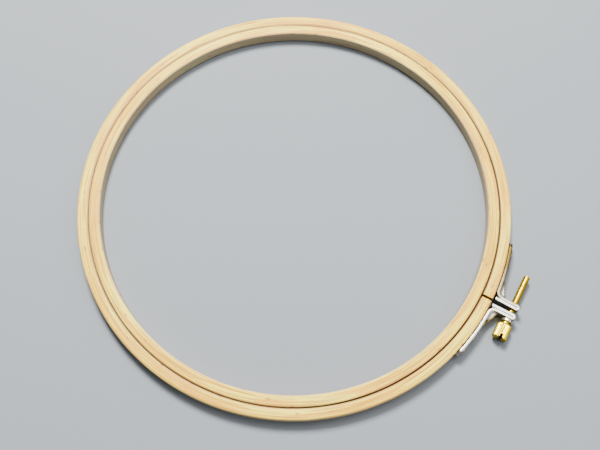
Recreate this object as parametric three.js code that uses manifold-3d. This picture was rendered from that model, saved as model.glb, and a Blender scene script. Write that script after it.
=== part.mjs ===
// A wooden embroidery hoop: a closed inner ring, a split outer ring, and a clamp across the split.
// Millimetres, +Z up. The hoop lies flat on z = 0 with the clamp towards +X and the stud's tip towards +Y.

import * as THREE from 'three';
import { mergeVertices } from 'three/addons/utils/BufferGeometryUtils.js';
import Module from 'manifold-3d';

const wasm = await Module();
wasm.setup();

// Rings
const innerRingDiameter = 228.6; // outer diameter of the inner ring, the hoop's nominal 9 inches
const innerRingWall = 6.2;
const outerRingWall = 6.1;
const ringDepth = 8;
const ringEdgeRadius = 1.2;
const ringClearance = 0.3; // radial gap that the cloth is pinched in
const splitGap = 1.4;
const springGap = 0.3; // hairline at the back, where the outer ring springs open

// Pressed brackets, each a strip that is folded double where it stands out as an ear
const sheetThickness = 1.5;
const bracketHeight = 7;
const bracketSeat = 0.3; // between the strap and the wood
const strapReach = 35.6; // from the middle of the split to the strap's rounded end
const bendRadius = 2.6; // inside the bend between the strap and the ear
const hemGap = 0.3; // between the ear's two layers
const earSetback = 0.45; // from the cut end of the wood to the ear's inner face
const earFoot = 0.9; // from the wood to the end of the folded layer
const earReach = 3.2; // from the screw's axis to the fold
const screwStandoff = 11.4; // from the outer ring's face to the screw's axis
const ribHeight = 3.9; // of the pressed corner rib, up the ear
const ribReach = 13; // of the rib, along the strap
const ribWidth = 3.4;
const ribWall = 1;

// Nails that hold the straps
const nailInset = 5; // from the strap's rounded end to the last nail
const nailPitch = 8;
const nailShankDiameter = 1.6;
const nailHeadDiameter = 3.2;
const nailHeadHeight = 1;
const nailLength = 5.6; // under the head
const nailPoint = 1.2;
const nailClearance = 0.3;

// Thumb screw and washer
const studDiameter = 3.5;
const studReach = 18; // free thread past the stud-side ear
const studChamfer = 0.5;
const threadClearance = 0.15;
const earHoleClearance = 0.4;
const washerDiameter = 6.8;
const washerThickness = 1.6;
const washerHoleClearance = 0.25;
const washerEdge = 0.25;
const runningGap = 0.3; // between the ear, the washer and the screw's neck
const neckDiameter = 5;
const neckLength = 0.7;
const headDiameter = 7.8;
const headLength = 8.8;
const headShoulder = 0.9; // cone between the neck and the knurled head
const headChamfer = 0.4;
const knurlFlutes = 26;
const knurlDepth = 0.28;
const knurlLand = 0.4; // share of the knurl that stays at the full diameter
const slotWidth = 1.4;
const slotDepth = 2.2;

// Facets
const ringSegments = 120;
const cornerSegments = 3;
const smallRoundSegments = 24;
const bendSegments = 6;
const strapSegments = 14;
const cutMargin = 2; // how far a cutting tool runs past what it cuts

// Sizes that follow
const innerRingOuterRadius = innerRingDiameter / 2;
const innerRingInnerRadius = innerRingOuterRadius - innerRingWall;
const outerRingInnerRadius = innerRingOuterRadius + ringClearance;
const outerRingOuterRadius = outerRingInnerRadius + outerRingWall;
const midHeight = ringDepth / 2;
const screwAxisX = outerRingOuterRadius + screwStandoff;
const strapInnerRadius = outerRingOuterRadius + bracketSeat;
const strapOuterRadius = strapInnerRadius + sheetThickness;
const earThickness = 2 * sheetThickness + hemGap;
const earInnerFace = splitGap / 2 + earSetback;
const earOuterFace = earInnerFace + earThickness;
const foldY = earInnerFace + earThickness / 2;
const foldX = screwAxisX + earReach - earThickness / 2;
const convexRadius = bendRadius + sheetThickness;
const bendY = earOuterFace + bendRadius;
const bendX = Math.sqrt((strapInnerRadius + convexRadius) ** 2 - bendY ** 2);
const bendAngle = Math.atan2(bendY, bendX);
const nailSpots = [strapReach - nailInset - nailPitch, strapReach - nailInset];
const clampReach = screwAxisX + Math.max(headDiameter / 2, earReach);
const ringCentreX = (outerRingOuterRadius - clampReach) / 2;
const washerFaceY = -(earOuterFace + runningGap);
const neckFaceY = washerFaceY - washerThickness - runningGap;
const headStartY = neckFaceY - neckLength;
const headEndY = headStartY - headLength;
const studTipY = earOuterFace + studReach;

const beech = new THREE.MeshStandardMaterial({ color: 0xf1d9ae, roughness: 0.62, metalness: 0 });
const beechInner = new THREE.MeshStandardMaterial({ color: 0xefd3a6, roughness: 0.66, metalness: 0 });
const nickel = new THREE.MeshStandardMaterial({ color: 0xd2cfc6, roughness: 0.24, metalness: 1 });
const nailSteel = new THREE.MeshStandardMaterial({ color: 0xc4c1b8, roughness: 0.32, metalness: 1 });
const brass = new THREE.MeshStandardMaterial({ color: 0xd9bd5a, roughness: 0.28, metalness: 1 });
const paleBrass = new THREE.MeshStandardMaterial({ color: 0xe6d69a, roughness: 0.3, metalness: 1 });

// Booleans

function toSolid(geometry) {
  const bare = geometry.clone();
  bare.deleteAttribute('normal');
  bare.deleteAttribute('uv');
  const merged = mergeVertices(bare, 1e-5);
  return new wasm.Manifold(new wasm.Mesh({
    numProp: 3,
    vertProperties: new Float32Array(merged.attributes.position.array),
    triVerts: new Uint32Array(merged.index.array),
  }));
}

function toGeometry(solid) {
  const mesh = solid.getMesh();
  const geometry = new THREE.BufferGeometry();
  geometry.setAttribute('position', new THREE.BufferAttribute(mesh.vertProperties, mesh.numProp));
  geometry.setIndex(new THREE.BufferAttribute(mesh.triVerts, 1));
  geometry.computeVertexNormals();
  return geometry;
}

function cut(solid, tools) {
  return tools.reduce((left, tool) => left.subtract(tool), solid);
}

// Shapes

// A box between two corners.
function boxBetween(low, high) {
  const size = new THREE.Vector3().subVectors(high, low);
  const middle = new THREE.Vector3().addVectors(low, high).multiplyScalar(0.5);
  return toSolid(new THREE.BoxGeometry(size.x, size.y, size.z).translate(middle.x, middle.y, middle.z));
}

// An outline drawn in the XY plane and raised from one height to another.
function raise(shape, low, high, curveSegments = bendSegments) {
  const geometry = new THREE.ExtrudeGeometry(shape, {
    depth: high - low,
    bevelEnabled: false,
    curveSegments,
  });
  return geometry.translate(0, 0, low);
}

// A round bar along Y.
function barAlongY(radius, low, high) {
  const bar = new THREE.CylinderGeometry(radius, radius, high - low, smallRoundSegments);
  return bar.translate(0, (low + high) / 2, 0);
}

// A turned body about Y, from [radius, height] pairs that start and end on the axis.
function turn(profile) {
  const points = profile.map(([radius, height]) => new THREE.Vector2(radius, height));
  return new THREE.LatheGeometry(points, smallRoundSegments);
}

// The same shape on the other side of the XZ plane.
function mirrorAcrossSplit(geometry) {
  const mirrored = geometry.clone().scale(1, -1, 1);
  const corners = mirrored.index.array;
  for (let first = 0; first < corners.length; first += 3) {
    [corners[first + 1], corners[first + 2]] = [corners[first + 2], corners[first + 1]];
  }
  return mirrored;
}

// A lathe profile with rounded corners, for a ring between two radii and two heights.
function roundedSection(innerRadius, outerRadius, low, high, corner) {
  const points = [];
  const corners = [
    [outerRadius - corner, low + corner, -Math.PI / 2],
    [outerRadius - corner, high - corner, 0],
    [innerRadius + corner, high - corner, Math.PI / 2],
    [innerRadius + corner, low + corner, Math.PI],
  ];
  for (const [x, y, start] of corners) {
    for (let step = 0; step <= cornerSegments; step += 1) {
      const angle = start + (step / cornerSegments) * (Math.PI / 2);
      points.push(new THREE.Vector2(x + corner * Math.cos(angle), y + corner * Math.sin(angle)));
    }
  }
  points.push(points[0].clone());
  return points;
}

// Rings

function ringBody(innerRadius, outerRadius) {
  const section = roundedSection(innerRadius, outerRadius, 0, ringDepth, ringEdgeRadius);
  return new THREE.LatheGeometry(section, ringSegments).rotateX(Math.PI / 2);
}

// Half of the outer ring, on the side of the split that `side` gives: 1 for +Y and -1 for -Y.
function outerRingHalf(side) {
  const reach = outerRingOuterRadius + cutMargin;
  const frontY = side * (splitGap / 2);
  const backY = side * (springGap / 2);
  const farY = side * reach;
  const low = -cutMargin;
  const high = ringDepth + cutMargin;
  const block = (fromX, toX, fromY) => boxBetween(
    new THREE.Vector3(fromX, Math.min(fromY, farY), low),
    new THREE.Vector3(toX, Math.max(fromY, farY), high),
  );
  const ring = toSolid(ringBody(outerRingInnerRadius, outerRingOuterRadius));
  const keep = block(0, reach, frontY).add(block(-reach, cutMargin, backY));
  return cut(ring.intersect(keep), nailSpots.map((spot) => nailHole(side, spot)));
}

// Brackets, drawn on the +Y side with their mid-height at z = 0

// The strip seen from above: along the wood, out through the bend, round the fold and back.
function stripOutline() {
  const strapEnd = Math.asin(strapReach / strapInnerRadius);
  const footX = outerRingOuterRadius + earFoot;
  const outline = new THREE.Shape();
  outline.absarc(0, 0, strapInnerRadius, strapEnd, bendAngle, true);
  outline.absarc(bendX, bendY, convexRadius, Math.PI + bendAngle, 1.5 * Math.PI, false);
  outline.absarc(foldX, foldY, hemGap / 2, Math.PI / 2, -Math.PI / 2, true);
  outline.lineTo(footX, earInnerFace + sheetThickness);
  outline.lineTo(footX, earInnerFace);
  outline.absarc(foldX, foldY, earThickness / 2, -Math.PI / 2, Math.PI / 2, false);
  outline.absarc(bendX, bendY, bendRadius, 1.5 * Math.PI, Math.PI + bendAngle, true);
  outline.absarc(0, 0, strapOuterRadius, bendAngle, strapEnd, false);
  outline.closePath();
  return outline;
}

// The strip seen from outside the hoop, with Y drawn along X: the strap's far end is half round.
function strapView() {
  const half = bracketHeight / 2;
  const outline = new THREE.Shape();
  outline.moveTo(0, -half);
  outline.lineTo(strapReach - half, -half);
  outline.absarc(strapReach - half, 0, half, -Math.PI / 2, Math.PI / 2, false);
  outline.lineTo(0, half);
  outline.closePath();
  const solid = raise(outline, 0, clampReach + cutMargin, strapSegments);
  return toSolid(solid.rotateX(Math.PI / 2).rotateZ(Math.PI / 2));
}

// The rib's crest runs straight from the ear's outer face down to the strap's.
function ribCrest() {
  const top = new THREE.Vector2(strapOuterRadius + ribHeight, earOuterFace);
  const footY = top.y + ribReach;
  const foot = new THREE.Vector2(Math.sqrt(strapOuterRadius ** 2 - footY ** 2), footY);
  const along = new THREE.Vector2().subVectors(foot, top).normalize();
  return { top, foot, along };
}

// A half-round bar under the rib's crest, `inset` below it and as much narrower on each side.
function ribBar(inset) {
  const { top, foot, along } = ribCrest();
  const overrun = sheetThickness + cutMargin;
  const radius = ribWidth / 2 - inset;
  const section = new THREE.Shape();
  section.absarc(radius + inset, 0, radius, Math.PI / 2, 1.5 * Math.PI, false);
  section.lineTo(ribHeight + overrun, -radius);
  section.lineTo(ribHeight + overrun, radius);
  section.closePath();
  const inward = new THREE.Vector3(-along.y, along.x, 0);
  const start = top.clone().addScaledVector(along, -overrun);
  const turned = new THREE.Matrix4()
    .makeBasis(inward, new THREE.Vector3(0, 0, 1), new THREE.Vector3(along.x, along.y, 0))
    .setPosition(start.x, start.y, 0);
  const bar = raise(section, 0, top.distanceTo(foot) + 2 * overrun);
  return toSolid(bar.applyMatrix4(turned));
}

// Everything on the bend's hollow side of the middle of the sheet.
function ribCorner() {
  const { top, foot } = ribCrest();
  const sheetMiddle = sheetThickness / 2;
  const corner = new THREE.Shape();
  corner.moveTo(foot.x - sheetMiddle, foot.y);
  corner.absarc(bendX, bendY, bendRadius + sheetMiddle, Math.PI + bendAngle, 1.5 * Math.PI, false);
  corner.lineTo(top.x + ribHeight, top.y - sheetMiddle);
  corner.lineTo(foot.x, foot.y + ribHeight);
  corner.closePath();
  return toSolid(raise(corner, -ribWidth, ribWidth));
}

// The rib is hollow from behind, through the strap and the ear's outer layer only.
function ribHollow() {
  const behindFold = boxBetween(
    new THREE.Vector3(0, foldY, -bracketHeight),
    new THREE.Vector3(clampReach, strapReach, bracketHeight),
  );
  return ribBar(ribWall).intersect(behindFold);
}

function bracketBlank(holeRadius) {
  const half = bracketHeight / 2;
  const strip = toSolid(raise(stripOutline(), -half, half, strapSegments)).intersect(strapView());
  const rib = ribBar(0).intersect(ribCorner());
  const hole = toSolid(barAlongY(holeRadius, 0, earOuterFace + cutMargin).translate(screwAxisX, 0, 0));
  return cut(strip.add(rib), [ribHollow(), hole]);
}

function bracket(side, holeRadius) {
  const blank = toGeometry(bracketBlank(holeRadius)).translate(0, 0, midHeight);
  const sided = toSolid(side > 0 ? blank : mirrorAcrossSplit(blank));
  return cut(sided, nailSpots.map((spot) => nailHole(side, spot)));
}

// Nails

function nailAngle(side, spot) {
  return side * Math.asin(spot / outerRingOuterRadius);
}

// Turns a shape drawn about Z, with z = 0 at the strap's face, to point out of the ring at a nail.
function placeAtNail(geometry, side, spot) {
  return geometry
    .rotateY(Math.PI / 2)
    .translate(strapOuterRadius, 0, 0)
    .rotateZ(nailAngle(side, spot))
    .translate(0, 0, midHeight);
}

function nailHole(side, spot) {
  const radius = nailShankDiameter / 2 + nailClearance;
  const depth = nailLength + nailClearance;
  const drill = new THREE.CylinderGeometry(radius, radius, depth + cutMargin, smallRoundSegments / 2)
    .rotateX(Math.PI / 2)
    .translate(0, 0, (cutMargin - depth) / 2);
  return toSolid(placeAtNail(drill, side, spot));
}

function nailGeometry(side, spot) {
  const shank = nailShankDiameter / 2;
  const head = nailHeadDiameter / 2;
  const underHead = nailClearance;
  const profile = [
    new THREE.Vector2(0, -nailLength),
    new THREE.Vector2(shank, nailPoint - nailLength),
    new THREE.Vector2(shank, underHead),
    new THREE.Vector2(head, underHead),
  ];
  for (let step = 1; step <= cornerSegments + 1; step += 1) {
    const angle = (step / (cornerSegments + 1)) * (Math.PI / 2);
    const x = step > cornerSegments ? 0 : head * Math.cos(angle);
    profile.push(new THREE.Vector2(x, underHead + nailHeadHeight * Math.sin(angle)));
  }
  const nail = new THREE.LatheGeometry(profile, smallRoundSegments / 2).rotateX(Math.PI / 2);
  return placeAtNail(nail, side, spot);
}

// Thumb screw and washer

// The screw's neck, shank and chamfered tip, about Y, from a little way inside the head.
function turnedShank() {
  const shank = studDiameter / 2;
  const neck = neckDiameter / 2;
  return toSolid(turn([
    [0, headStartY - headShoulder],
    [neck, headStartY - headShoulder],
    [neck, neckFaceY],
    [shank, neckFaceY],
    [shank, studTipY - studChamfer],
    [shank - studChamfer, studTipY],
    [0, studTipY],
  ]));
}

// The head before it is knurled: a drum with a cone towards the neck and a bevelled end.
function headBlank() {
  const land = headDiameter / 2;
  const drum = land + knurlDepth;
  const neck = neckDiameter / 2;
  const cone = (headShoulder * (drum - neck)) / (land - neck);
  return toSolid(turn([
    [0, headEndY],
    [land - headChamfer, headEndY],
    [drum, headEndY + headChamfer + knurlDepth],
    [drum, headStartY - cone],
    [neck, headStartY],
    [0, headStartY],
  ]));
}

// The knurl seen along the screw: a V flute between each two lands.
function knurlOutline() {
  const crest = headDiameter / 2;
  const pitch = (2 * Math.PI) / knurlFlutes;
  const corners = [[0, crest - knurlDepth], [(1 - knurlLand) / 2, crest], [(1 + knurlLand) / 2, crest]];
  const points = [];
  for (let flute = 0; flute < knurlFlutes; flute += 1) {
    for (const [share, radius] of corners) {
      const angle = (flute + share) * pitch;
      points.push(new THREE.Vector2(radius * Math.cos(angle), radius * Math.sin(angle)));
    }
  }
  return new THREE.Shape(points);
}

// A screw with a shank, a knurled head and a screwdriver slot that stands upright across its end.
function thumbScrew() {
  const knurl = raise(knurlOutline(), -headStartY, -headEndY).rotateX(Math.PI / 2);
  const slot = boxBetween(
    new THREE.Vector3(-slotWidth / 2, headEndY - cutMargin, -headDiameter),
    new THREE.Vector3(slotWidth / 2, headEndY + slotDepth, headDiameter),
  );
  return headBlank().intersect(toSolid(knurl)).add(turnedShank()).subtract(slot);
}

function washerGeometry() {
  const hole = studDiameter / 2 + washerHoleClearance;
  const low = washerFaceY - washerThickness;
  const section = roundedSection(hole, washerDiameter / 2, low, washerFaceY, washerEdge);
  return new THREE.LatheGeometry(section, smallRoundSegments);
}

// The assembly, built about the ring's axis and then moved so that the whole is centred on the origin

const hoop = new THREE.Group();
const assembly = new THREE.Group();
assembly.position.x = ringCentreX;
hoop.add(assembly);

const screwLine = new THREE.Group();
screwLine.position.set(screwAxisX, 0, midHeight);
assembly.add(screwLine);

function place(parent, name, geometry, material) {
  const mesh = new THREE.Mesh(geometry, material);
  mesh.name = name;
  parent.add(mesh);
}

place(assembly, 'inner_ring', ringBody(innerRingInnerRadius, innerRingOuterRadius), beechInner);

const sides = [
  { name: 'stud_side', side: 1, holeRadius: studDiameter / 2 + threadClearance },
  { name: 'head_side', side: -1, holeRadius: studDiameter / 2 + earHoleClearance },
];
for (const { name, side, holeRadius } of sides) {
  place(assembly, `outer_ring_${name}`, toGeometry(outerRingHalf(side)), beech);
  place(assembly, `bracket_${name}`, toGeometry(bracket(side, holeRadius)), nickel);
  nailSpots.forEach((spot, index) => {
    place(assembly, `nail_${name}_${index + 1}`, nailGeometry(side, spot), nailSteel);
  });
}

place(screwLine, 'washer', washerGeometry(), paleBrass);
place(screwLine, 'thumb_screw', toGeometry(thumbScrew()), brass);

export default hoop;
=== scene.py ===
# Embroidery hoop: a closed inner ring, a split outer ring and the clamp that draws it together.
# Sizes in the dictionaries are in millimetres and angles in degrees, unless a note says otherwise.
# Everything that is built is in metres.

import math

import bmesh
import bpy
from mathutils import Matrix, Vector


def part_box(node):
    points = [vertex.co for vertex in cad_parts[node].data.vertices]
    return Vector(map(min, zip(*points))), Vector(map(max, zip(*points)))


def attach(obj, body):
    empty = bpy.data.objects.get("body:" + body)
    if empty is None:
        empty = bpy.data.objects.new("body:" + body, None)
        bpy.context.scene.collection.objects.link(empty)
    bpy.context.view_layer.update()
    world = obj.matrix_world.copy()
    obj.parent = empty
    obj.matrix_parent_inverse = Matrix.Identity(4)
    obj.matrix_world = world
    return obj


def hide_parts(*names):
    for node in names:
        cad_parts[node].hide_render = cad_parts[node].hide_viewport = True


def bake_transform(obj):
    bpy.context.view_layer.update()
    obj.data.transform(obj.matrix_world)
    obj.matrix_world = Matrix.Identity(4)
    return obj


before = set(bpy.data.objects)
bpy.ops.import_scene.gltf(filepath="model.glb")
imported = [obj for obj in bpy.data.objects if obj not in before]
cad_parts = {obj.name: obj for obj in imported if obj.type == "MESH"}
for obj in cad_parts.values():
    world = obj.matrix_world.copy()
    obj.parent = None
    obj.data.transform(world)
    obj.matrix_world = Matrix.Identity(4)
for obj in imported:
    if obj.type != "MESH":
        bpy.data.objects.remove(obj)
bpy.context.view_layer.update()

mm = 0.001
ringLow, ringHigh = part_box("inner_ring")
ringCentreX = (ringLow.x + ringHigh.x) / 2
ringDepth = ringHigh.z
midHeight = ringDepth / 2
innerRingRadius = (ringHigh.y - ringLow.y) / 2
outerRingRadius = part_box("outer_ring_stud_side")[1].y
screwLow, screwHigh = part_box("thumb_screw")
screwX = (screwLow.x + screwHigh.x) / 2
print("frame loaded, hoop radius", round(outerRingRadius / mm, 2), "mm")


# 0 at low, 1 at high, straight between.
def ramp(value, low, high):
    return min(1, max(0, (value - low) / (high - low)))


# Small helpers for meshes

# These three are in metres.
samePlace = 1e-7      # corners nearer than this are one
turnedPlace = 1e-6    # the same for corners that were turned many times
wayThrough = 0.012    # a drill this long passes through any wall here


def finishMesh(bm, name, materials, smoothBelow=40):
    bmesh.ops.remove_doubles(bm, verts=bm.verts, dist=samePlace)
    bmesh.ops.recalc_face_normals(bm, faces=bm.faces)
    mesh = bpy.data.meshes.new(name)
    bm.to_mesh(mesh)
    bm.free()
    for material in materials:
        mesh.materials.append(material)
    piece = bpy.data.objects.new(name, mesh)
    bpy.context.scene.collection.objects.link(piece)
    smoothShade(piece, smoothBelow)
    return piece


def smoothShade(piece, smoothBelow):
    piece.data.shade_smooth()
    piece.data.set_sharp_from_angle(angle=math.radians(smoothBelow))


# Applies the modifiers and takes away the objects that they worked with.
def applyModifiers(piece, tools, smoothBelow=40):
    bpy.context.view_layer.update()
    depsgraph = bpy.context.evaluated_depsgraph_get()
    finished = bpy.data.meshes.new_from_object(piece.evaluated_get(depsgraph))
    piece.modifiers.clear()
    piece.data = finished
    for tool in tools:
        bpy.data.objects.remove(tool)
    smoothShade(piece, smoothBelow)


# Cuts the tool out of the piece, or joins it on with UNION.
def cutWith(piece, tool, operation="DIFFERENCE"):
    modifier = piece.modifiers.new("cut", "BOOLEAN")
    modifier.operation = operation
    modifier.solver = "EXACT"
    modifier.object = tool


# A round drill through the middle of the place that the matrix gives, along its Z.
def makeDrill(name, radius, segments, matrix):
    bm = bmesh.new()
    bmesh.ops.create_cone(bm, cap_ends=True, segments=segments, radius1=radius, radius2=radius,
                          depth=wayThrough)
    bmesh.ops.transform(bm, matrix=matrix, verts=bm.verts)
    return finishMesh(bm, name, [])


# Turns the drawn geometry round Z and lifts it by rise at each step.
def spinRound(bm, geom, angle, steps, merge, rise=0):
    bmesh.ops.spin(bm, geom=geom, cent=(0, 0, 0), axis=(0, 0, 1), dvec=(0, 0, rise),
                   angle=angle, steps=steps, use_merge=merge, use_duplicate=False)


# Spinning leaves corners and faces in an order that changes from run to run; this one doesn't.
def sortMesh(bm):
    def sortBy(elements, place):
        ranks = {element: rank for rank, element in enumerate(sorted(elements, key=place))}
        elements.sort(key=lambda element: ranks[element])
        elements.index_update()

    sortBy(bm.verts, lambda vert: vert.co[:])
    for elements in (bm.edges, bm.faces):
        sortBy(elements, lambda element: sorted(vert.index for vert in element.verts))


# An open line of (radius, height) pairs, in millimetres, in the plane of X and Z.
def drawProfile(bm, profile):
    corners = [bm.verts.new((radius * mm, 0, height * mm)) for radius, height in profile]
    return corners + [bm.edges.new(pair) for pair in zip(corners, corners[1:])]


# A solid turned about Z from a profile that starts and ends on the axis.
def turnProfile(bm, profile, steps):
    spinRound(bm, drawProfile(bm, profile), math.tau, steps, True)
    bmesh.ops.remove_doubles(bm, verts=bm.verts, dist=samePlace)
    sortMesh(bm)


# A closed section of four (radius, height) corners, in metres, with its corners rounded off.
def drawRoundedSection(bm, section, rounding, segments):
    corners = [bm.verts.new((radius, 0, height)) for radius, height in section]
    bm.faces.new(corners)
    bmesh.ops.bevel(bm, geom=corners, offset=rounding, offset_type="OFFSET", segments=segments,
                    profile=0.5, affect="VERTICES", material=-1)
    bmesh.ops.delete(bm, geom=list(bm.faces), context="FACES_ONLY")


# Takes what is drawn about Z to the screw's axis, with Z along +Y.
def alongScrew():
    return Matrix.Translation((screwX, 0, midHeight)) @ Matrix.Rotation(-math.pi / 2, 4, "X")


# Small helpers for materials

def addNode(tree, kind, inputs=None, **settings):
    made = tree.nodes.new(kind)
    for key, value in settings.items():
        setattr(made, key, value)
    for key, value in (inputs or {}).items():
        if isinstance(value, bpy.types.NodeSocket):
            tree.links.new(value, made.inputs[key])
        else:
            made.inputs[key].default_value = value
    return made


def newGroup(name, inputs, outputs):
    group = bpy.data.node_groups.new(name, "ShaderNodeTree")
    for label, kind, value in inputs:
        socket = group.interface.new_socket(label, in_out="INPUT", socket_type=kind)
        if value is not None:
            socket.default_value = value
    for label, kind in outputs:
        group.interface.new_socket(label, in_out="OUTPUT", socket_type=kind)
    return group, addNode(group, "NodeGroupInput").outputs, addNode(group, "NodeGroupOutput").inputs


def mathNode(tree, operation, first, second=0.0):
    return addNode(tree, "ShaderNodeMath", {0: first, 1: second}, operation=operation).outputs[0]


def multiply(tree, first, second):
    return mathNode(tree, "MULTIPLY", first, second)


# How far a value is from a middle, on either side.
def distanceFrom(tree, value, middle):
    return mathNode(tree, "ABSOLUTE", mathNode(tree, "SUBTRACT", value, middle))


# 0 below low, 1 above high, smooth between.
def smoothRange(tree, value, low, high, start=0.0, end=1.0):
    return addNode(tree, "ShaderNodeMapRange", {
        "Value": value, "From Min": low, "From Max": high, "To Min": start, "To Max": end,
    }, interpolation_type="SMOOTHSTEP").outputs[0]


def mixColours(tree, factor, first, second):
    return addNode(tree, "ShaderNodeMix", {0: factor, 6: first, 7: second}, data_type="RGBA").outputs[2]


def noiseAt(tree, coord, scale, detail, roughness, offset=(0, 0, 0)):
    placed = addNode(tree, "ShaderNodeMapping", {"Vector": coord, "Location": offset, "Scale": scale})
    return addNode(tree, "ShaderNodeTexNoise", {
        "Vector": placed.outputs[0], "Scale": 1.0, "Detail": detail, "Roughness": roughness,
    }).outputs[0]


def cellsAt(tree, coord, scale, offset=(0, 0, 0)):
    placed = addNode(tree, "ShaderNodeMapping", {"Vector": coord, "Location": offset, "Scale": scale})
    cells = addNode(tree, "ShaderNodeTexVoronoi", {"Vector": placed.outputs[0], "Scale": 1.0})
    return cells.outputs["Distance"], cells.outputs["Color"]


# Reads an amount from a table of (place from 0 to 1, amount) that ends as it starts.
def tableAt(tree, factor, stops):
    table = addNode(tree, "ShaderNodeValToRGB", {0: factor})
    elements = table.color_ramp.elements
    elements[1].position, elements[0].position = 1, 0
    elements[0].color = (stops[0][1],) * 3 + (1,)
    elements[1].color = elements[0].color
    for place, amount in stops[1:]:
        elements.new(place).color = (amount,) * 3 + (1,)
    return table.outputs[0]


def newMaterial(name, sockets):
    material = bpy.data.materials.new(name)
    material.use_nodes = True
    tree = material.node_tree
    shader = tree.nodes["Principled BSDF"]
    for label, value in sockets.items():
        shader.inputs[label].default_value = value
    return material, tree, shader


def addBump(tree, shader, height, strength, depth):
    bump = addNode(tree, "ShaderNodeBump", {"Height": height, "Strength": strength, "Distance": depth})
    tree.links.new(bump.outputs[0], shader.inputs["Normal"])


# Beech

beechLook = {
    "cream": (0.95, 0.68, 0.03, 1),
    "pale": (0.98, 0.82, 0.075, 1),
    "pink": (0.90, 0.51, 0.04, 1),
    "honey": (0.70, 0.36, 0.006, 1),
    "vessel": (0.36, 0.12, 0.035, 1),
    # painted shade, for the groove beside the joint and behind the straps
    "gap": (0.13, 0.06, 0.024, 1),
    # painted shade for the hoop's inside wall
    "innerWallShade": (0.2, 0.175, 0.14, 1),
    "bump": 0.35,
    "bumpDepth": 0.06,
    # across the wood, from the middle of its thickness: from where to where a change happens
    "edgeHoney": (1.4, 2.9),
    "wallFrom": (2.3, 3.0),
    "wallSaturation": 0.62,
    "wallValue": 0.9,
    "grooveShadeFrom": (2.35, 2.9),
    "strapShadeFrom": (2.3, 2.8),
    "strapShade": 0.9,
    "strapShadeEnd": (34.5, 33.5),   # along the ring from the clamp
    "innerWallShadeFrom": (-2.5, -3.1),
    "innerWallShadeAmount": 0.4,
    # up the joint, from the middle of its height
    "grooveShadeHeight": (1.6, 2.9),
    "grooveShadeDeepInside": 0.08,
    # how dark the painted shade in the joint's groove is, by degrees round the hoop from the clamp
    "grooveShadeAround": ((0, 1.0), (40, 0.95), (75, 0.35), (105, 0.03), (165, 0.06), (195, 0.25), (222, 0.5),
                    (262, 0.6), (290, 0.75), (315, 0.95), (335, 1.0)),
    # the glued joint's line: half its width where it fades and where it is full, and its strength
    "scarfLine": (0.22, 0.08),
    "scarfStrength": 0.55,
    "scarfFade": (1, 4),             # past its two ends
}

# Each noise: changes per metre along, across and up the wood, then detail, roughness and shift.
grainNoise = {
    "broad": ((11, 420, 420), 2, 0.5),
    "streaks": ((22, 1350, 1350), 3, 0.6, (3, 7, 1)),
    "lines": ((42, 3600, 3600), 3, 0.65, (11, 2, 5)),
    "blush": ((20, 300, 300), 3, 0.55, (5, 9, 4)),
}
# Each set of cells: how many per metre, and shift.
grainCells = {
    "vessel": ((360, 2300, 2300), (0, 0, 0)),
    "fleck": ((150, 400, 400), (2, 3, 8)),
}
# Where in its noise, or in its cell, each mark begins and is full.
grainMarks = {
    "pale": (0.44, 0.56),
    "pink": (0.48, 0.58),
    "honey": (0.5, 0.59),
    "line": (0.52, 0.36),
    "lineAmount": 0.52,
    "vessel": (0.42, 0.12),
    "vesselPick": (0.45, 0.75),   # which of the cells have one
    "vesselAmount": 0.45,
    "vesselDepth": 0.8,
    "fleck": (0.62, 0.46),
    "fleckPick": (0.62, 0.85),
    "fleckAmount": 0.8,
    "fleckFray": 0.7,             # how much the fine lines break up its rim
    "roughFrom": (0.3, 0.7),
    "roughness": (0.48, 0.62),
}

# Grain that runs along X of the coordinate it is given: length along the ring, place across it, height.
beechGrain, ins, outs = newGroup(
    "beechGrain",
    [("Coord", "NodeSocketVector", None), ("Honey", "NodeSocketFloat", 0.5)],
    [("Color", "NodeSocketColor"), ("Roughness", "NodeSocketFloat"), ("Height", "NodeSocketFloat")],
)


# One of the marks, from its name in grainMarks.
def grainMark(value, name, *ends):
    return smoothRange(beechGrain, value, *grainMarks[name], *ends)


# Marks in some of the cells, picked by one channel of the cells' colours; fray breaks up their rims.
def markCells(name, channel, fray=None):
    distance, colour = cellsAt(beechGrain, ins["Coord"], *grainCells[name])
    pick = addNode(beechGrain, "ShaderNodeSeparateColor", {"Color": colour}).outputs[channel]
    if fray:
        distance = mathNode(beechGrain, "ADD", distance, fray)
    return multiply(beechGrain, grainMark(distance, name), grainMark(pick, name + "Pick"))


broad, streaks, lines, blush = [noiseAt(beechGrain, ins["Coord"], *noise) for noise in grainNoise.values()]
vessels = markCells("vessel", 0)
flecks = markCells("fleck", 1, multiply(beechGrain, lines, grainMarks["fleckFray"]))
tone = mixColours(beechGrain, grainMark(broad, "pale"), beechLook["cream"], beechLook["pale"])
tone = mixColours(beechGrain, grainMark(blush, "pink"), tone, beechLook["pink"])
tone = mixColours(beechGrain, grainMark(streaks, "honey"), tone, beechLook["honey"])
across = addNode(beechGrain, "ShaderNodeSeparateXYZ", {0: ins["Coord"]}).outputs[1]
nearEdge = smoothRange(beechGrain, mathNode(beechGrain, "ABSOLUTE", across),
                       *[place * mm for place in beechLook["edgeHoney"]])
tone = mixColours(beechGrain, multiply(beechGrain, nearEdge, ins["Honey"]), tone, beechLook["honey"])
lineShade = grainMark(lines, "line", 0, grainMarks["lineAmount"])
vesselShade = multiply(beechGrain, vessels, grainMarks["vesselAmount"])
fleckShade = multiply(beechGrain, flecks, grainMarks["fleckAmount"])
marks = mathNode(beechGrain, "MAXIMUM", vesselShade, lineShade)
marks = mathNode(beechGrain, "MAXIMUM", marks, fleckShade)
grainHeight = mathNode(beechGrain, "SUBTRACT", lines,
                       multiply(beechGrain, vessels, grainMarks["vesselDepth"]))
beechGrain.links.new(mixColours(beechGrain, marks, tone, beechLook["vessel"]), outs["Color"])
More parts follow.
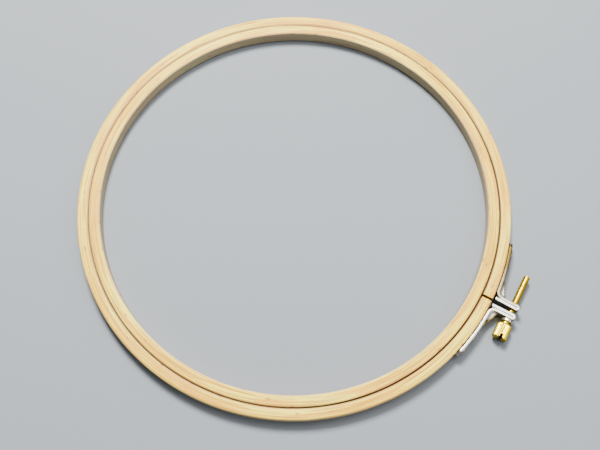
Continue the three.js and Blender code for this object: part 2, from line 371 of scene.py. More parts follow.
beechGrain.links.new(grainMark(streaks, "roughFrom", *grainMarks["roughness"]), outs["Roughness"])
beechGrain.links.new(grainHeight, outs["Height"])


# Wood of a ring. A scarf is its start, its end, its offset at the start and at the end: metres along
# the ring, then across it. The rings' joint is at the side of the wood that gapSide gives.
def beechMaterial(name, honey, scarf, gapSide, midRadius, seamAngle):
    look = beechLook
    material, tree, shader = newMaterial(name, {
        "Roughness": 0.55, "Specular IOR Level": 0.25,
        "Coat Weight": 0.04, "Coat Roughness": 0.35,
    })
    coord = addNode(tree, "ShaderNodeAttribute", attribute_name="alongWood").outputs["Vector"]
    grain = addNode(tree, "ShaderNodeGroup", node_tree=beechGrain)
    tree.links.new(coord, grain.inputs["Coord"])
    grain.inputs["Honey"].default_value = honey
    colour = grain.outputs["Color"]
    along, across, height = addNode(tree, "ShaderNodeSeparateXYZ", {0: coord}).outputs

    def between(value, name, *ends):
        return smoothRange(tree, value, *[place * mm for place in look[name]], *ends)

    if scarf:
        start, end, startOffset, endOffset = scarf
        line = addNode(tree, "ShaderNodeMapRange", {
            "Value": along, "From Min": start, "From Max": end, "To Min": startOffset, "To Max": endOffset,
        }).outputs[0]
        seam = between(distanceFrom(tree, across, line), "scarfLine", 0, look["scarfStrength"])
        fadeIn, fadeOut = [reach * mm for reach in look["scarfFade"]]
        here = multiply(tree, smoothRange(tree, along, start - fadeIn, start),
                        smoothRange(tree, along, end + fadeOut, end))
        colour = mixColours(tree, multiply(tree, seam, here), colour, look["vessel"])
    # painted shade: the walls are paler and duller than the faces, as the wood looks in shade
    aside = mathNode(tree, "ABSOLUTE", across)
    colour = addNode(tree, "ShaderNodeHueSaturation", {
        "Saturation": between(aside, "wallFrom", 1, look["wallSaturation"]),
        "Value": between(aside, "wallFrom", 1, look["wallValue"]), "Color": colour,
    }).outputs[0]
    # painted shade darkens the groove beside the joint, most of all round the clamp
    grooveShade = between(multiply(tree, across, gapSide), "grooveShadeFrom")
    turned = mathNode(tree, "DIVIDE", along, math.tau * midRadius)
    turned = mathNode(tree, "FRACT", mathNode(tree, "ADD", turned, seamAngle / math.tau + 1))
    shadeAround = tableAt(tree, turned, [(degrees / 360, amount) for degrees, amount in look["grooveShadeAround"]])
    nearFace = between(distanceFrom(tree, height, midHeight), "grooveShadeHeight", look["grooveShadeDeepInside"], 1)
    amount = multiply(tree, multiply(tree, grooveShade, nearFace), shadeAround)
    colour = mixColours(tree, amount, colour, look["gap"])
    if gapSide > 0:
        # painted shade: the inside wall of the hoop is greyer, as it looks in shadow
        innerWallShading = between(across, "innerWallShadeFrom", 0, look["innerWallShadeAmount"])
        colour = mixColours(tree, innerWallShading, colour, look["innerWallShade"])
    else:
        # shade behind the straps
        behind = between(across, "strapShadeFrom")
        back = math.pi * midRadius
        end, full = [back - reach * mm for reach in look["strapShadeEnd"]]
        underStrap = smoothRange(tree, distanceFrom(tree, along, back), end, full, 0, look["strapShade"])
        colour = mixColours(tree, multiply(tree, behind, underStrap), colour, look["gap"])
    tree.links.new(colour, shader.inputs["Base Color"])
    tree.links.new(grain.outputs["Roughness"], shader.inputs["Roughness"])
    addBump(tree, shader, grain.outputs["Height"], look["bump"], look["bumpDepth"] * mm)
    return material


# The cut ends at the split: pores run along the ring, so here they are seen as dots.
endGrainLook = {
    "early": (0.24, 0.12, 0.045, 1),
    "late": (0.16, 0.075, 0.028, 1),
    "growth": ((700, 60, 160), 3, 0.5),
    "growthFrom": (0.4, 0.65),
    "pores": (4200, 600, 4200),
    "poreFrom": (0.4, 0.15),
    "poreAmount": 0.6,
    "bump": 0.4,
    "bumpDepth": 0.08,
}


def endGrainMaterial():
    look = endGrainLook
    material, tree, shader = newMaterial("beechEndGrain", {"Roughness": 0.7, "Specular IOR Level": 0.3})
    coord = addNode(tree, "ShaderNodeTexCoord").outputs["Object"]
    poreDistance = cellsAt(tree, coord, look["pores"])[0]
    pores = smoothRange(tree, poreDistance, *look["poreFrom"], 0, look["poreAmount"])
    growth = smoothRange(tree, noiseAt(tree, coord, *look["growth"]), *look["growthFrom"])
    colour = mixColours(tree, growth, look["early"], look["late"])
    tree.links.new(mixColours(tree, pores, colour, beechLook["vessel"]), shader.inputs["Base Color"])
    addBump(tree, shader, poreDistance, look["bump"], look["bumpDepth"] * mm)
    return material


# Metals

# Each noise: changes per metre, then detail, roughness and shift.
metalNoise = {
    "cloud": ((420, 420, 420), 5, 0.6),
    "scratchOne": ((260, 5200, 5200), 3, 0.7, (1, 4, 2)),
    "scratchTwo": ((5600, 5600, 300), 3, 0.7, (6, 1, 3)),
    "dents": ((900, 900, 900), 2, 0.5, (8, 5, 7)),
}
# Where in its noise each mark begins and is full.
metalMarks = {
    "tarnish": (0.42, 0.72),
    "scratchOne": (0.6, 0.72),
    "scratchTwo": (0.62, 0.74),
    "dentDepth": 0.8,
    "scratchDepth": 0.35,
    "bumpDepth": 0.04,
}
metalLooks = {
    "nickelPlate": {
        "colour": (0.78, 0.74, 0.64, 1),
        "tarnish": (0.62, 0.51, 0.34, 1),
        "shade": (0.1, 0.085, 0.07, 1),
        # painted reflection on the brackets' edges
        "bare": (0.12, 0.08, 0.022, 1),
        "tarnishAmount": 0.6, "roughness": (0.17, 0.3), "bump": 0.16, "fineness": 0.7,
    },
    "nailSteel": {
        "colour": (0.68, 0.55, 0.40, 1),
        "tarnish": (0.36, 0.21, 0.11, 1),
        "tarnishAmount": 0.7, "roughness": (0.26, 0.45), "bump": 0.3, "fineness": 1.6,
    },
    "screwBrass": {
        "colour": (0.74, 0.55, 0.014, 1),
        "tarnish": (0.54, 0.3, 0.008, 1),
        "slotShade": (0.07, 0.045, 0.012, 1),
        "slotSides": (0.85, 0.7),      # from the screw's axis
        "slotFloor": (-13.7, -14.0),   # along Y
        "tarnishAmount": 0.5, "roughness": (0.27, 0.4), "bump": 0.05, "fineness": 0.8,
    },
    "paleBrass": {
        "colour": (0.93, 0.85, 0.62, 1),
        "tarnish": (0.66, 0.5, 0.24, 1),
        "tarnishAmount": 0.4, "roughness": (0.18, 0.32), "bump": 0.12, "fineness": 1.2,
    },
}

# Handling marks that every metal shares: cloudy tarnish, fine scratches and small dents.
metalWear, ins, outs = newGroup(
    "metalWear",
    [("Coord", "NodeSocketVector", None), ("Fineness", "NodeSocketFloat", 1.0)],
    [("Tarnish", "NodeSocketFloat"), ("Scratches", "NodeSocketFloat"), ("Height", "NodeSocketFloat")],
)
sized = addNode(metalWear, "ShaderNodeVectorMath", {0: ins["Coord"], "Scale": ins["Fineness"]},
                operation="SCALE").outputs[0]
cloud, scratchOne, scratchTwo, dents = [noiseAt(metalWear, sized, *noise) for noise in metalNoise.values()]
scratches = mathNode(metalWear, "MAXIMUM",
                     smoothRange(metalWear, scratchOne, *metalMarks["scratchOne"]),
                     smoothRange(metalWear, scratchTwo, *metalMarks["scratchTwo"]))
wearHeight = mathNode(metalWear, "SUBTRACT",
                      multiply(metalWear, dents, metalMarks["dentDepth"]),
                      multiply(metalWear, scratches, metalMarks["scratchDepth"]))
metalWear.links.new(smoothRange(metalWear, cloud, *metalMarks["tarnish"]), outs["Tarnish"])
metalWear.links.new(scratches, outs["Scratches"])
metalWear.links.new(wearHeight, outs["Height"])


def metalMaterial(name, look):
    material, tree, shader = newMaterial(name, {"Metallic": 1.0})
    coord = addNode(tree, "ShaderNodeTexCoord").outputs["Object"]
    wear = addNode(tree, "ShaderNodeGroup", node_tree=metalWear)
    tree.links.new(coord, wear.inputs["Coord"])
    wear.inputs["Fineness"].default_value = look["fineness"]
    amount = multiply(tree, wear.outputs["Tarnish"], look["tarnishAmount"])
    colour = mixColours(tree, amount, look["colour"], look["tarnish"])
    if "shade" in look:
        # painted shade where the sheet is folded, on the faces in the split and on the rib's flanks
        recessShadeAmount = addNode(tree, "ShaderNodeAttribute", attribute_name="recessShade").outputs["Fac"]
        colour = mixColours(tree, recessShadeAmount, colour, look["shade"])
        # painted reflection of warm surroundings along the edges, strongest on the stud-side strap
        bare = addNode(tree, "ShaderNodeAttribute", attribute_name="bareEdge").outputs["Fac"]
        colour = mixColours(tree, bare, colour, look["bare"])
    if "slotShade" in look:
        # painted shade in the slot, which is cut along Z at the far end of the head
        x, y = addNode(tree, "ShaderNodeSeparateXYZ", {0: coord}).outputs[:2]
        aside = distanceFrom(tree, x, screwX)
        inSlot = multiply(tree, smoothRange(tree, aside, *[place * mm for place in look["slotSides"]]),
                          smoothRange(tree, y, *[place * mm for place in look["slotFloor"]]))
        colour = mixColours(tree, inSlot, colour, look["slotShade"])
    tree.links.new(colour, shader.inputs["Base Color"])
    rough = mathNode(tree, "MAXIMUM", wear.outputs["Scratches"], wear.outputs["Tarnish"])
    tree.links.new(smoothRange(tree, rough, 0, 1, *look["roughness"]), shader.inputs["Roughness"])
    addBump(tree, shader, wear.outputs["Height"], look["bump"], metalMarks["bumpDepth"] * mm)
    return material


metals = {name: metalMaterial(name, look) for name, look in metalLooks.items()}
print("materials made")


# Rings

rings = {
    "wallInner": 6.2,
    "wallOuter": 6.1,
    "edgeRadius": 1.2,
    "edgeSteps": 7,
    "splitGap": 1.4,
    "endSoftness": 0.2,
    "steps": 360,
    "bendHalf": 0.65,            # a reach on both sides of the outer ring's back
    "scarfAt": (-41, -10),       # where the inner ring's glued joint runs
    "scarfAcross": (2.7, -1.6),  # from the middle of the wall, outwards
    "grainStart": -71,           # where the inner ring's grain starts and ends, before the joint
    "honeyInner": 0.25,          # how honey-coloured the wood is near its walls
    "honeyOuter": 0.5,
}


# Stores where each corner is along, across and up the wood, with the join at seamAngle.
def storeAlongWood(piece, midRadius, seamAngle):
    mesh = piece.data
    centre = Vector((ringCentreX, 0, 0))
    attribute = mesh.attributes.new("alongWood", "FLOAT_VECTOR", "CORNER")
    for face in mesh.polygons:
        middle = face.center - centre
        middleAngle = (math.atan2(middle.y, middle.x) - seamAngle) % math.tau
        for loop in face.loop_indices:
            corner = mesh.vertices[mesh.loops[loop].vertex_index].co - centre
            angle = (math.atan2(corner.y, corner.x) - seamAngle) % math.tau
            # a face that touches the join keeps all its corners on its own side
            angle += math.tau * round((middleAngle - angle) / math.tau)
            across = math.hypot(corner.x, corner.y) - midRadius
            attribute.data[loop].vector = (angle * midRadius, across, corner.z)


def ringMesh(innerRadius, outerRadius, startAngle, sweep):
    bm = bmesh.new()
    section = ((innerRadius, 0), (outerRadius, 0), (outerRadius, ringDepth), (innerRadius, ringDepth))
    drawRoundedSection(bm, section, rings["edgeRadius"] * mm, rings["edgeSteps"])
    bmesh.ops.rotate(bm, verts=bm.verts, cent=(0, 0, 0), matrix=Matrix.Rotation(startAngle, 3, "Z"))
    closed = sweep == math.tau
    spinRound(bm, list(bm.verts) + list(bm.edges), sweep, rings["steps"], closed)
    if not closed:
        rim = [edge for edge in bm.edges if edge.is_boundary]
        for face in bmesh.ops.holes_fill(bm, edges=rim, sides=0)["faces"]:
            face.material_index = 1
        bmesh.ops.bevel(bm, geom=rim, offset=rings["endSoftness"] * mm, offset_type="OFFSET", segments=2,
                        profile=0.5, affect="EDGES", material=0)
    bmesh.ops.translate(bm, verts=bm.verts, vec=(ringCentreX, 0, 0))
    sortMesh(bm)
    return bm


def makeInnerRing():
    inner = innerRingRadius - rings["wallInner"] * mm
    mid = (inner + innerRingRadius) / 2
    seamAngle = math.radians(rings["grainStart"])
    along = [(math.radians(angle) - seamAngle) * mid for angle in rings["scarfAt"]]
    scarf = along + [offset * mm for offset in rings["scarfAcross"]]
    material = beechMaterial("beechInner", rings["honeyInner"], scarf, 1, mid, seamAngle)
    piece = finishMesh(ringMesh(inner, innerRingRadius, seamAngle, math.tau), "innerRing", [material])
    storeAlongWood(piece, mid, seamAngle)
    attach(piece, "inner_ring")
    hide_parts("inner_ring")


def makeOuterRing():
    inner = outerRingRadius - rings["wallOuter"] * mm
    mid = (inner + outerRingRadius) / 2
    half = math.asin(rings["splitGap"] / 2 * mm / mid)
    bm = ringMesh(inner, outerRingRadius, half, math.tau - 2 * half)
    material = beechMaterial("beechOuter", rings["honeyOuter"], None, -1, mid, 0)
    piece = finishMesh(bm, "outerRing", [material, endGrainMaterial()])
    drills = [nailDrill(side, spot) for side in (1, -1) for spot in nails["spots"]]
    for drill in drills:
        cutWith(piece, drill)
    applyModifiers(piece, drills)
    storeAlongWood(piece, mid, 0)
    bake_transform(piece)
    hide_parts("outer_ring_stud_side", "outer_ring_head_side")


# Nails

nails = {
    "spots": (22.6, 30.6),
    "strapFace": 122.5,    # radius of the strap's outer face
    "shankRadius": 0.8,
    "holeRadius": 0.86,
    "holeSteps": 24,
    "holeTurn": 5,         # so that no corner of the drill falls on the sheet's middle row
    "length": 5.6,
    "pointLength": 1.2,
    "steps": 32,
    # of the head: radius, and height from the strap's face
    "profile": [(0, 1.18), (0.55, 1.13), (1.0, 0.96), (1.35, 0.66), (1.56, 0.28), (1.58, 0.06),
                (1.5, 0.02)],
}


# The nail's place in its strap, with Z outwards.
def nailPlace(side, spot):
    angle = side * math.asin(spot * mm / outerRingRadius)
    turned = Matrix.Translation((ringCentreX, 0, midHeight)) @ Matrix.Rotation(angle, 4, "Z")
    onFace = turned @ Matrix.Translation((nails["strapFace"] * mm, 0, 0))
    return onFace @ Matrix.Rotation(math.pi / 2, 4, "Y")


def nailDrill(side, spot):
    place = nailPlace(side, spot) @ Matrix.Rotation(math.radians(nails["holeTurn"]), 4, "Z")
    return makeDrill("nailDrill", nails["holeRadius"] * mm, nails["holeSteps"], place)


def makeNail(side, spot, node, body):
    bm = bmesh.new()
    shank, length = nails["shankRadius"], nails["length"]
    collar = nails["profile"][-1][1]
    tail = [(shank, collar), (shank, nails["pointLength"] - length), (0, -length)]
    turnProfile(bm, nails["profile"] + tail, nails["steps"])
    bmesh.ops.transform(bm, matrix=nailPlace(side, spot), verts=bm.verts)
    piece = finishMesh(bm, node.replace("nail", "strapNail"), [metals["nailSteel"]], smoothBelow=35)
    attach(piece, body)
    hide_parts(node)


# Brackets

# X and Y are from the ring's axis, for the bracket on the stud side.
brackets = {
    "sheet": 1.5,
    "height": 7.0,
    "strapMiddle": 121.75,  # radius of the middle of the strap's sheet
    "strapReach": 35.6,
    "bendRadius": 3.35,     # to the middle of the sheet
    "bendCentreY": 7.05,
    "outerLegY": 3.7,
    "foldX": 133.65,
    "foldY": 2.8,
    "foldRadius": 0.9,
    "innerLegEnd": (121.6, 2.14),
    "ribTopX": 126.0,
    "ribFootY": 16.4,
    "ribHalfWidth": 2.35,
    "ribFlank": 1.25,
    "threadedHole": 1.88,
    "clearHole": 2.12,
    "holeSteps": 48,
    "rows": 44,
    "edgeSoftness": 0.16,
    "edgeAngle": 55,        # edges sharper than this are softened
}

# In how many steps each part of the strip is laid.
stripSteps = {"tip": 16, "strap": 84, "bend": 20, "outerLeg": 24, "fold": 14, "innerLeg": 30}

# Where the brackets get painted shade and a painted reflection, each with its strength.
bracketPaintedLight = {
    "foldY": (2.3, 3.25),         # between the folded layers
    "foldPastX": 0.3,             # past the fold's centre
    "foldShade": 0.9,
    "splitY": 1.45,               # nearer to the middle of the split than this
    "splitShade": 0.75,
    "ribFromY": 4,
    "ribRise": (-0.05, 0.15),     # how far out of the sheet the rib's shade starts and is full
    "ribFall": (1.5, 1),          # and where it has gone again and is still full
    "ribHeight": (1.4, 2),        # from the middle of the height
    "ribFade": (1, 5),            # before the rib's foot
    "ribShade": 0.9,
    "rimFade": 12,                # how fast the shade stops at the edges
    "reflectionFromY": (2.9, 3.2),      # none on the folded layer
    "reflectionLeast": 0.7,             # on the ear, and more along the strap
    "reflectionGrowsY": (4, 22),
    "reflectionHeadSide": 0.08,         # all that the head-side bracket has
    "reflectionFromEdge": (0.4, 0.2),
}


# Centre of the bend beside the strap, and how far round the ring it is.
def bendPlace():
    bendY = brackets["bendCentreY"]
    bendX = math.sqrt((brackets["strapMiddle"] + brackets["bendRadius"]) ** 2 - bendY ** 2)
    return bendX, bendY, math.atan2(bendY, bendX)


# The middle of the sheet from the strap's tip to the folded layer's end, as (x, y, half height).
def stripStations():
    b = brackets
    half = b["height"] / 2
    strap = b["strapMiddle"]
    bendX, bendY, bendAngle = bendPlace()
    tip = math.asin(b["strapReach"] / strap)
    stations = []

    def shares(part):
        count = stripSteps[part]
        return [step / count for step in range(1, count + 1)]

    def onArc(x, y, radius, angle, reach=half):
        stations.append((x + radius * math.cos(angle), y + radius * math.sin(angle), reach))

    # the tip is rounded
    for share in shares("tip"):
        turn = share * math.pi / 2
        onArc(0, 0, strap, tip - half / strap * (1 - math.cos(turn)), half * math.sin(turn))
    start = tip - half / strap
    for share in shares("strap"):
        onArc(0, 0, strap, start + (bendAngle - start) * share)
    for share in shares("bend"):
        onArc(bendX, bendY, b["bendRadius"], math.pi + bendAngle + (math.pi / 2 - bendAngle) * share)
    for share in shares("outerLeg"):
        stations.append((bendX + (b["foldX"] - bendX) * share, b["outerLegY"], half))
    for share in shares("fold"):
        onArc(b["foldX"], b["foldY"], b["foldRadius"], math.pi / 2 - math.pi * share)
    endX, endY = b["innerLegEnd"]
    legY = b["foldY"] - b["foldRadius"]
    for share in shares("innerLeg"):
        stations.append((b["foldX"] + (endX - b["foldX"]) * share, legY + (endY - legY) * share, half))
    return stations


# Where the rib's crest puts each station: on the straight line between the rib's two ends.
def ribCrest(stations):
    b = brackets
    last = max(i for i, (x, y, h) in enumerate(stations) if x <= b["ribTopX"] and y > b["foldY"])
    first = min(i for i, (x, y, h) in enumerate(stations) if y <= b["ribFootY"])
    lengths = [0]
    for one, two in zip(stations[first:last], stations[first + 1:last + 1]):
        lengths.append(lengths[-1] + math.hypot(two[0] - one[0], two[1] - one[1]))
    foot, top = stations[first], stations[last]
    crest = {}
    for index in range(first, last + 1):
        share = lengths[index - first] / lengths[-1]
        crest[index] = (foot[0] + (top[0] - foot[0]) * share, foot[1] + (top[1] - foot[1]) * share)
    return crest


# The middle of the sheet, with the rib pressed into it.
def bracketSheet(side, name):
    b = brackets
    stations = stripStations()
    crest = ribCrest(stations)
    last = len(stations) - 1
    bm = bmesh.new()
    bmesh.ops.create_grid(bm, x_segments=last, y_segments=b["rows"], size=1)
    for vert in bm.verts:
        index = round((vert.co.x + 1) / 2 * last)
        x, y, half = stations[index]
        z = vert.co.y * half
        if index in crest and abs(z) < b["ribHalfWidth"]:
            # the flank is smooth at both ends
            share = min(1, (b["ribHalfWidth"] - abs(z)) / b["ribFlank"])
            press = share * share * (3 - 2 * share)
            x += (crest[index][0] - x) * press
            y += (crest[index][1] - y) * press
        vert.co = (x * mm + ringCentreX, side * y * mm, z * mm + midHeight)
    return finishMesh(bm, name, [metals["nickelPlate"]])


def makeBracket(side, name, node, body):
    b = brackets
    piece = bracketSheet(side, name)
    thickness = piece.modifiers.new("sheet", "SOLIDIFY")
    thickness.thickness = b["sheet"] * mm
    thickness.offset = 0
    soften = piece.modifiers.new("edges", "BEVEL")
    soften.width = b["edgeSoftness"] * mm
    soften.segments = 2
    soften.limit_method = "ANGLE"
    soften.angle_limit = math.radians(b["edgeAngle"])
    radius = (b["threadedHole"] if side > 0 else b["clearHole"]) * mm
    throughEar = Matrix.Translation((0, side * b["foldY"] * mm, 0)) @ alongScrew()
    holes = [makeDrill("screwDrill", radius, b["holeSteps"], throughEar)]
    holes += [nailDrill(side, spot) for spot in nails["spots"]]
    for hole in holes:
        cutWith(piece, hole)
    applyModifiers(piece, holes, smoothBelow=45)
    storePaintedLight(piece, side)
    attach(piece, body)
    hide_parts(node)


# The shade on the rib's flanks, where they stand out of the bend.
def ribShade(x, y, height):
    b, w = brackets, bracketPaintedLight
    halfSheet = b["sheet"] / 2
    if height >= b["ribHalfWidth"] + halfSheet or not w["ribFromY"] < y < b["ribFootY"]:
        return 0
    bendX, bendY = bendPlace()[:2]
    if x < bendX and y < bendY:
        proud = b["bendRadius"] - halfSheet - math.hypot(x - bendX, y - bendY)
    else:
        proud = min(math.hypot(x, y) - b["strapMiddle"], y - b["outerLegY"]) - halfSheet
    fadeFrom, fadeTo = [b["ribFootY"] - reach for reach in w["ribFade"]]
    flank = ramp(proud, *w["ribRise"]) * ramp(proud, *w["ribFall"]) * ramp(height, *w["ribHeight"])
    return w["ribShade"] * flank * ramp(y, fadeFrom, fadeTo)


# Marks the painted shade in the fold, in the split and on the rib's flanks, and a painted reflection on
# the edges.
def storePaintedLight(piece, side):
    b, w = brackets, bracketPaintedLight
    mesh = piece.data
    recessShade = mesh.attributes.new("recessShade", "FLOAT", "POINT")
    bareEdge = mesh.attributes.new("bareEdge", "FLOAT", "POINT")
    halfHeight = b["height"] / 2
    for vert in mesh.vertices:
        x = (vert.co.x - ringCentreX) / mm
        y = side * vert.co.y / mm
        height = abs(vert.co.z - midHeight) / mm
        if w["foldY"][0] < y < w["foldY"][1] and x < b["foldX"] + w["foldPastX"]:
            shade = w["foldShade"]
        elif y < w["splitY"]:
            shade = w["splitShade"]
        else:
            shade = ribShade(x, y, height)
        recessShade.data[vert.index].value = shade * min(1, (1 - height / halfHeight) * w["rimFade"])
        # painted reflection along the edges, mostly on the stud-side bracket
        if side > 0:
            grown = ramp(y, *w["reflectionGrowsY"])
            reflection = ramp(y, *w["reflectionFromY"]) * (w["reflectionLeast"] + (1 - w["reflectionLeast"]) * grown)
        else:
            reflection = w["reflectionHeadSide"]
        nearEdge = ramp(height, *[halfHeight - reach for reach in w["reflectionFromEdge"]])
        bareEdge.data[vert.index].value = reflection * nearEdge


# Washer and thumb screw

# Places are along Y, from the middle of the split; the head is on the minus side.
screw = {
    "pitch": 0.6,
    "crestRadius": 1.75,
    "rootRadius": 1.42,
    "tooth": (0.1, 0.42, 0.58, 0.9),   # where in the pitch the flanks start and end
    "threadFrom": -6.9,
    "tip": 22.45,
    "tipChamfer": 0.55,
    "stepsPerTurn": 24,
    "spareTurns": 3,                   # cut off at the two ends
    "studTurn": 2.4,                   # so that none of its corners fall on the neck's
    "headFrom": -7.35,
    "headTo": -16.15,
    "headRadius": 3.9,
    "faceRim": 1.1,                    # the flat of the end face, in from the drum
    "faceChamfer": 0.4,
    "drumRows": 12,
    "drumEnd": 0.9,                    # below the shoulder
    "shoulder": (0.35, 0.62),
    "neckRadius": 2.5,
    "neckFoot": (0.25, 0.1),
    "neckChamfer": 0.15,
    "neckFace": -6.65,
    "flutes": 26,
    "fluteDepth": 0.26,
    "fluteSteps": 8,
    "fluteFrom": (0.38, 0.7),          # in from the drum and below the shoulder
    "fluteWidth": 1.5,                 # higher is narrower
    "slotWidth": 1.35,
    "slotDepth": 2.2,
}

washer = {
    "near": -4.75,
    "far": -6.35,
    "hole": 2.0,
    "radius": 3.4,
    "edge": 0.28,
    "edgeSteps": 3,
    "steps": 64,
}


def makeStud():
    s = screw
    bm = bmesh.new()
    pitch, root, crest = s["pitch"], s["rootRadius"], s["crestRadius"]
    radii = (root, root, crest, crest, root, root)
    tooth = [(radius, share * pitch) for radius, share in zip(radii, (0, *s["tooth"], 1))]
    turns = math.ceil((s["tip"] - s["threadFrom"]) / pitch) + s["spareTurns"]
    steps = s["stepsPerTurn"]
    spinRound(bm, drawProfile(bm, tooth), math.tau * turns, steps * turns, False, pitch * mm / steps)
    bmesh.ops.remove_doubles(bm, verts=bm.verts, dist=turnedPlace)
    start = s["threadFrom"] - s["spareTurns"] / 2 * pitch
    bmesh.ops.translate(bm, verts=bm.verts, vec=(0, 0, start * mm))
    for height, normal in ((s["threadFrom"] * mm, -1), (s["tip"] * mm, 1)):
        bmesh.ops.bisect_plane(bm, geom=list(bm.verts) + list(bm.edges) + list(bm.faces), dist=samePlace,
                               plane_co=(0, 0, height), plane_no=(0, 0, normal), clear_outer=True)
        rim = [edge for edge in bm.edges if edge.is_boundary
               and all(abs(vert.co.z - height) < turnedPlace for vert in edge.verts)]
        bmesh.ops.holes_fill(bm, edges=rim, sides=0)
    # the tip is chamfered
    for vert in bm.verts:
        limit = (crest - s["tipChamfer"]) * mm + max(0, s["tip"] * mm - vert.co.z)
        radius = math.hypot(vert.co.x, vert.co.y)
        if radius > limit:
            vert.co.x *= limit / radius
            vert.co.y *= limit / radius
    sortMesh(bm)
    return bm


def makeHead():
    s = screw
    bm = bmesh.new()
    radius, neck, chamfer = s["headRadius"], s["neckRadius"], s["faceChamfer"]
    low, high, face = s["headTo"], s["headFrom"], s["neckFace"]
    drumLength = high - s["drumEnd"] - low - chamfer
    end = [(0, low), (radius - s["faceRim"], low), (radius - chamfer, low)]
    rows = s["drumRows"]
    drum = [(radius, low + chamfer + drumLength * row / rows) for row in range(rows + 1)]
    shoulder = [(radius - s["shoulder"][0], high - s["shoulder"][1]), (neck + s["neckFoot"][0], high),
                (neck, high + s["neckFoot"][1])]
    top = [(neck, face - s["neckChamfer"]), (neck - s["neckChamfer"], face), (0, face)]
    turnProfile(bm, end + drum + shoulder + top, s["flutes"] * s["fluteSteps"])
    for vert in bm.verts:
        reach = math.hypot(vert.co.x, vert.co.y)
        if reach > (radius - s["fluteFrom"][0]) * mm and vert.co.z < (high - s["fluteFrom"][1]) * mm:
            angle = math.atan2(vert.co.y, vert.co.x)
            groove = ((1 + math.cos(angle * s["flutes"])) / 2) ** s["fluteWidth"]
            scale = 1 - s["fluteDepth"] * mm * groove / reach
            vert.co.x *= scale
            vert.co.y *= scale
    return bm


def makeSlotCutter():
    s = screw
    size = [length * mm for length in (s["slotWidth"], s["slotDepth"] * 2, s["headRadius"] * 3)]
    bm = bmesh.new()
    bmesh.ops.create_cube(bm, size=1)
    bmesh.ops.scale(bm, vec=size, verts=bm.verts)
    bmesh.ops.translate(bm, vec=(screwX, s["headTo"] * mm, midHeight), verts=bm.verts)
    return finishMesh(bm, "slotCutter", [])


def makeThumbScrew():
    head = makeHead()
    bmesh.ops.transform(head, matrix=alongScrew(), verts=head.verts)
    piece = finishMesh(head, "thumbScrew", [metals["screwBrass"]])
    cutter = makeSlotCutter()
    cutWith(piece, cutter)
    thread = makeStud()
    turn = Matrix.Rotation(math.radians(screw["studTurn"]), 4, "Z")
    bmesh.ops.transform(thread, matrix=alongScrew() @ turn, verts=thread.verts)
    stud = finishMesh(thread, "stud", [])
    cutWith(piece, stud, "UNION")
    applyModifiers(piece, [cutter, stud], smoothBelow=32)
    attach(piece, "screw")
    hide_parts("thumb_screw")


def makeWasher():
    hole, radius, near, far = [washer[key] * mm for key in ("hole", "radius", "near", "far")]
    bm = bmesh.new()
    section = ((hole, far), (radius, far), (radius, near), (hole, near))
    drawRoundedSection(bm, section, washer["edge"] * mm, washer["edgeSteps"])
    spinRound(bm, list(bm.verts) + list(bm.edges), math.tau, washer["steps"], True)
    sortMesh(bm)
    bmesh.ops.transform(bm, matrix=alongScrew(), verts=bm.verts)
    piece = finishMesh(bm, "clampWasher", [metals["paleBrass"]], smoothBelow=35)
    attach(piece, "washer")
    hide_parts("washer")


makeInnerRing()
makeOuterRing()
print("rings made")

sides = ((1, "stud_side", "studSideBracket"), (-1, "head_side", "headSideBracket"))
for side, body, bracketName in sides:
    makeBracket(side, bracketName, "bracket_" + body, body)
    for index, spot in enumerate(nails["spots"]):
        makeNail(side, spot, f"nail_{body}_{index + 1}", body)
print("brackets and nails made")

makeWasher()
makeThumbScrew()
print("washer and screw made")


# Floor, light and camera

studio = {
    "floor": (0.22, 0.241, 0.262, 1),
    "bounce": (0.103, 0.121, 0.138, 1),
    "world": (0.93, 0.96, 1.0, 1),
    "worldStrength": 0.26,
    "backdrop": (0.97, 1.02, 1.06, 1),   # what the camera sees far off, as bright as the lit floor
    "backdropFrom": (0.35, 1.0),         # metres from the middle
    "floorSize": 3,                      # metres from the middle
    # place and size in metres, then watts and colour
    "lights": {
        "key": ((-0.40, 0.44, 0.98), 0.32, 42, (1.0, 0.98, 0.95)),
        "overhead": ((0.02, 0.36, 1.03), 0.7, 9, (1.0, 1.0, 1.0)),
        "rightGlint": ((0.62, 0.58, 0.47), 0.4, 1.8, (1.0, 1.0, 1.0)),
        "frontGlint": ((0.72, 0.02, 0.68), 0.4, 1.8, (1.0, 1.0, 1.0)),
    },
}

view = {
    "clampAngle": 28.768,   # how far the clamp is turned clockwise in the picture
    "pitch": 20.259,
    "roll": 0.5375,
    "aim": (3.306, -13.718),
    "distance": 393.29,
    "lens": 42,
    "sensor": 36,
}


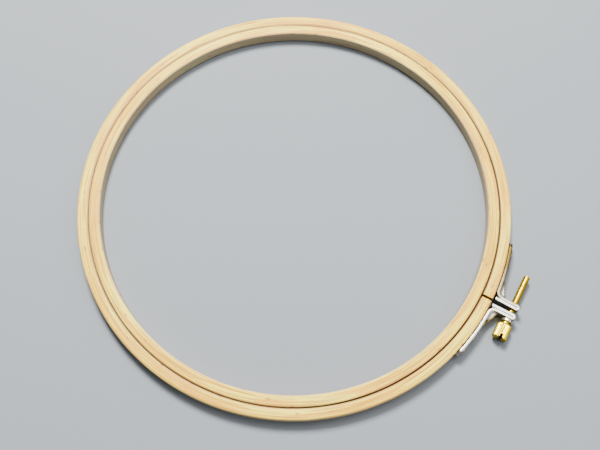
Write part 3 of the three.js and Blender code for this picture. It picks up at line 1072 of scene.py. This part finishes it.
def makeFloor():
    bm = bmesh.new()
    bmesh.ops.create_grid(bm, x_segments=1, y_segments=1, size=studio["floorSize"])
    material, tree, shader = newMaterial("paleFloor", {"Roughness": 0.9})
    # far from the lamps the floor turns into the backdrop, for the camera only
    place = addNode(tree, "ShaderNodeTexCoord").outputs["Object"]
    reach = addNode(tree, "ShaderNodeVectorMath", {0: place}, operation="LENGTH").outputs["Value"]
    seen = addNode(tree, "ShaderNodeLightPath").outputs["Is Camera Ray"]
    # the hoop gets less light back from the floor than the camera sees on it
    tree.links.new(mixColours(tree, seen, studio["bounce"], studio["floor"]), shader.inputs["Base Color"])
    share = multiply(tree, smoothRange(tree, reach, *studio["backdropFrom"]), seen)
    glow = addNode(tree, "ShaderNodeEmission", {"Color": studio["backdrop"]}).outputs[0]
    mixed = addNode(tree, "ShaderNodeMixShader", {0: share, 1: shader.outputs[0], 2: glow}).outputs[0]
    tree.links.new(mixed, tree.nodes["Material Output"].inputs["Surface"])
    finishMesh(bm, "floor", [material])


def makeLights():
    world = bpy.data.worlds.new("studio")
    bpy.context.scene.world = world
    world.use_nodes = True
    tree = world.node_tree
    dim = addNode(tree, "ShaderNodeBackground", {
        "Color": studio["world"], "Strength": studio["worldStrength"],
    }).outputs[0]
    plain = addNode(tree, "ShaderNodeBackground", {"Color": studio["backdrop"]}).outputs[0]
    seen = addNode(tree, "ShaderNodeLightPath").outputs["Is Camera Ray"]
    mixed = addNode(tree, "ShaderNodeMixShader", {0: seen, 1: dim, 2: plain}).outputs[0]
    tree.links.new(mixed, tree.nodes["World Output"].inputs["Surface"])
    for name, (place, size, watts, colour) in studio["lights"].items():
        lamp = bpy.data.lights.new(name, "AREA")
        lamp.energy = watts
        lamp.size = size
        lamp.color = colour
        stand = bpy.data.objects.new(name, lamp)
        stand.location = place
        stand.rotation_euler = (-Vector(place)).to_track_quat("-Z", "Y").to_euler()
        bpy.context.scene.collection.objects.link(stand)


# Looks down on the hoop, which is turned in the picture so that its clamp is at the lower right.
def makeCamera():
    pitch, roll = math.radians(view["pitch"]), math.radians(view["roll"])
    back = Vector((0, -math.sin(pitch), math.cos(pitch)))
    right = Vector((1, 0, 0))
    up = back.cross(right)
    tilted = Matrix.Rotation(roll, 3, back)
    right, up = tilted @ right, tilted @ up
    place = Vector((view["aim"][0] * mm, view["aim"][1] * mm, 0)) + back * view["distance"] * mm
    turn = Matrix.Rotation(math.radians(view["clampAngle"]), 3, "Z")
    pose = Matrix((turn @ right, turn @ up, turn @ back)).transposed().to_4x4()
    pose.translation = turn @ place + Vector((ringCentreX, 0, 0))
    lens = bpy.data.cameras.new("camera")
    lens.sensor_width = view["sensor"]
    lens.lens = view["lens"]
    lens.clip_start = 0.001
    camera = bpy.data.objects.new("camera", lens)
    camera.matrix_world = pose
    bpy.context.scene.collection.objects.link(camera)
    bpy.context.scene.camera = camera


makeFloor()
makeLights()
makeCamera()
print("studio made")
